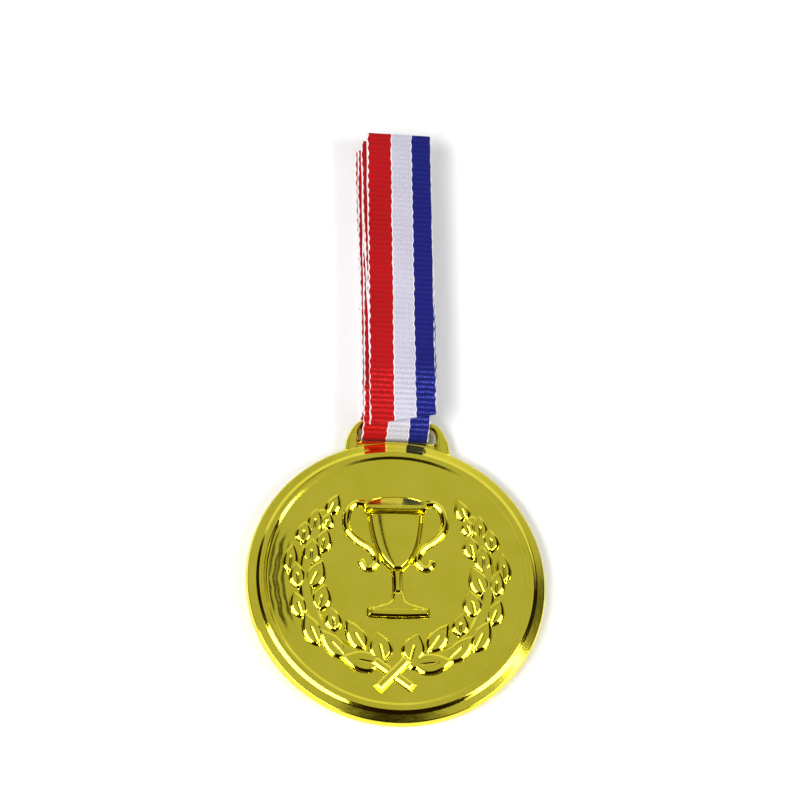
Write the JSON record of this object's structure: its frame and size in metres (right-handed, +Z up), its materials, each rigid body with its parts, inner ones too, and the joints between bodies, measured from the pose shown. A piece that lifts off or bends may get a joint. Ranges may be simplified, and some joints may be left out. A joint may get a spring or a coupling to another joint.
{
  "type": "trophy medal",
  "caption": "Round gold-plated award medal with a trophy cup and laurel wreath in relief, on a folded red, white and blue neck ribbon.",
  "frame": {"origin": "middle of the whole object's outline on the surface it lies on, midway between the disc's lowest edge and the ribbon's far fold", "axes": "+Z up out of the medal's face, +Y from the disc towards the ribbon, +X to the right seen from above"},
  "size_m": [0.045, 0.098, 0.0054],
  "materials": {
    "gold_plating": "mirror-bright gold plating on moulded plastic",
    "ribbon_cloth": "ribbed woven polyester in red, white and blue stripes"
  },
  "bodies": {
    "ribbon": {"ribbon_turn": "ribbon_cloth", "ribbon_stack": "ribbon_cloth"},
    "medal": {"medal_disc": "gold_plating", "suspension_loop": "gold_plating", "cup_rim": "gold_plating", "cup_bowl": "gold_plating", "cup_stem": "gold_plating", "cup_foot": "gold_plating", "cup_handle_left": "gold_plating", "cup_handle_right": "gold_plating", "laurel_branch_left": "gold_plating", "laurel_branch_right": "gold_plating", "laurel_stems": "gold_plating"}
  },
  "joints": [
    {"name": "medal_swing", "type": "hinge", "parent": "ribbon", "child": "medal", "pos_m": [0, -0.00075, 0.00143], "axis": [-1, 0, 0], "range_deg": [0, 45]}
  ]
}
